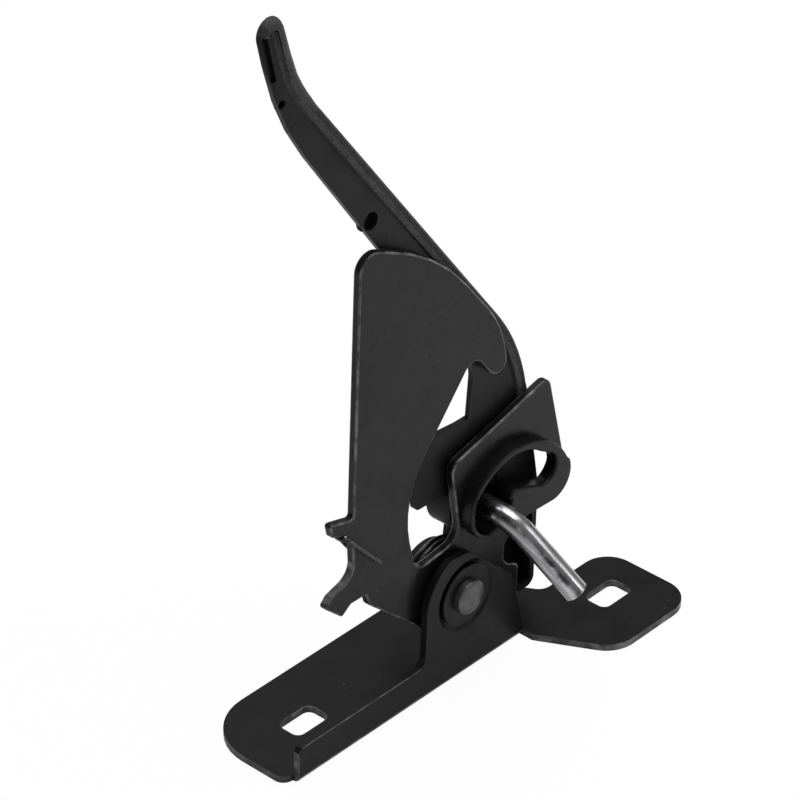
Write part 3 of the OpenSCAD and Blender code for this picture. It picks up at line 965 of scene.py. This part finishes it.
rodSet = {
    "seat": (12, 26.7), "radius": 4, "lean": 23, "bend": 56, "bendRadius": 13, "tail": 25.3,
    "bendY": -24.3, "backY": -1, "backStep": 0.5, "chamfer": 0.3, "sides": 48, "steps": 10, "bendSteps": 16,
    "rubReflectFacing": (-0.61, -0.57, 0.55), "rubReflectMiddle": 4, "rubReflectWidth": 15,
}


def rodPath(r):
    steps, bendSteps = r["steps"], r["bendSteps"]
    startY = r["backY"] - r["backStep"]
    path = [(0, r["backY"], 0), (0, startY, 0)]
    path += [(0, startY + (r["bendY"] - startY) * i / steps, 0) for i in range(1, steps)]
    for i in range(bendSteps + 1):
        a = math.radians(r["bend"] * i / bendSteps)
        path.append((0, r["bendY"] - r["bendRadius"] * math.sin(a), -r["bendRadius"] * (1 - math.cos(a))))
    a = math.radians(r["bend"])
    last = Vector(path[-1])
    way = Vector((0, -math.cos(a), -math.sin(a)))
    for i in range(1, steps + 1):
        path.append(last + way * (r["tail"] - r["chamfer"]) * i / steps)
    path.append(last + way * r["tail"])
    lean = Matrix.Rotation(math.radians(-r["lean"]), 3, "Y")
    shift = Vector((r["seat"][0], 0, r["seat"][1])) + pivot / mm
    return [lean @ Vector(p) + shift for p in path]


# How strongly each point of the rod carries a long dark band on its front left, the side facing the camera:
# partly a rub mark, partly painted reflection
def markRod(mesh, line, r):
    sides, facing = r["sides"], Vector(r["rubReflectFacing"])
    layer = mesh.attributes.new("rubAndReflectionBand", "FLOAT", "POINT")
    for i, point in enumerate(line):
        ahead = (line[min(i + 1, len(line) - 1)] - line[max(i - 1, 0)]).normalized()
        front = (facing - ahead * facing.dot(ahead)).normalized()
        side = ahead.cross(front)
        for k in range(sides):
            way = mesh.vertices[i * sides + k].co / mm - point
            angle = math.degrees(math.atan2(way.dot(side), way.dot(front)))
            layer.data[i * sides + k].value = math.exp(-((angle - r["rubReflectMiddle"]) / r["rubReflectWidth"]) ** 2)


rodLine = rodPath(rodSet)
rodRadii = [rodSet["radius"]] * len(rodLine)
rodRadii[0] = rodRadii[-1] = rodSet["radius"] - rodSet["chamfer"]
rodMesh = sweep("guideRod", rodLine, rodRadii, rodSet["sides"], "rodMap")
markRod(rodMesh, rodLine, rodSet)
addPiece("guideRod", rodMesh, "catch", rodSkin, ["guide_rod"])
print("rod made")

# Torsion spring

springSet = {
    "wire": 0.9, "coil": 14.5, "turns": 3, "backY": -7.6, "frontY": -13.9, "legY": -19.15,
    "anchorX": 20, "footZ": 1.3, "footTop": 2.6, "footBend": 1.6, "footBendSteps": 6, "footIn": 3,
    "coilSteps": 150, "hook": (-50.4, 45), "hookRound": 0.5, "hookSteps": 4, "end": (-36.7, 30.7),
    "sides": 14,
}


# The foot in the base, the coil, and last the six points of the hook round the plate's left edge
def springPath(s):
    hookX, hookZ = s["hook"]
    legAngle = math.degrees(math.atan2(hookZ, hookX) + math.acos(s["coil"] / math.hypot(hookX, hookZ)))
    sweepAngle = 270 - legAngle + 360 * s["turns"]
    path = [(s["anchorX"], s["backY"], s["footZ"] - pivotHeight),
            (s["anchorX"], s["backY"], -s["coil"] - s["footTop"])]
    for i in range(1, s["footBendSteps"]):
        a = math.radians(90 * i / s["footBendSteps"])
        path.append((s["anchorX"] - s["footBend"] * (1 - math.cos(a)), s["backY"],
                     -s["coil"] - s["footBend"] + s["footBend"] * math.sin(a)))
    path.append((s["anchorX"] - s["footIn"], s["backY"], -s["coil"]))
    for i in range(s["coilSteps"] + 1):
        a = math.radians(270 - sweepAngle * i / s["coilSteps"])
        y = s["backY"] + (s["frontY"] - s["backY"]) * i / s["coilSteps"]
        path.append((s["coil"] * math.cos(a), y, s["coil"] * math.sin(a)))
    frontY, legY = s["frontY"], s["legY"]
    path += [
        (hookX + 2, frontY, hookZ - 2), (hookX - 0.6, frontY - s["hookRound"], hookZ + 0.6),
        (hookX - 1.4, (frontY + legY) / 2, hookZ + 1.2), (hookX - 0.6, legY + s["hookRound"], hookZ + 1),
        (hookX + 1.2, legY, hookZ - 0.6), (s["end"][0], legY, s["end"][1]),
    ]
    return [Vector(p) + pivot / mm for p in path]


# A smooth curve through the path's last points, from firstIndex on
def rounded(path, firstIndex, steps):
    fine = list(path[:firstIndex])
    for i in range(firstIndex, len(path) - 1):
        a, b, c = path[i - 1], path[i], path[i + 1]
        d = path[min(i + 2, len(path) - 1)]
        for k in range(steps):
            t = k / steps
            fine.append(0.5 * (2 * b + (c - a) * t + (2 * a - 5 * b + 4 * c - d) * t * t
                               + (3 * b - a - 3 * c + d) * t ** 3))
    fine.append(path[-1])
    return fine


springLine = springPath(springSet)
springLine = rounded(springLine, len(springLine) - 6, springSet["hookSteps"])
springMesh = sweep("torsionSpring", springLine, [springSet["wire"]] * len(springLine), springSet["sides"])
springPiece = bpy.data.objects.new("torsionSpring", springMesh)
scene.collection.objects.link(springPiece)
springMesh.materials.append(springSkin)
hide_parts("torsion_spring")
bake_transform(springPiece)
print("spring made")
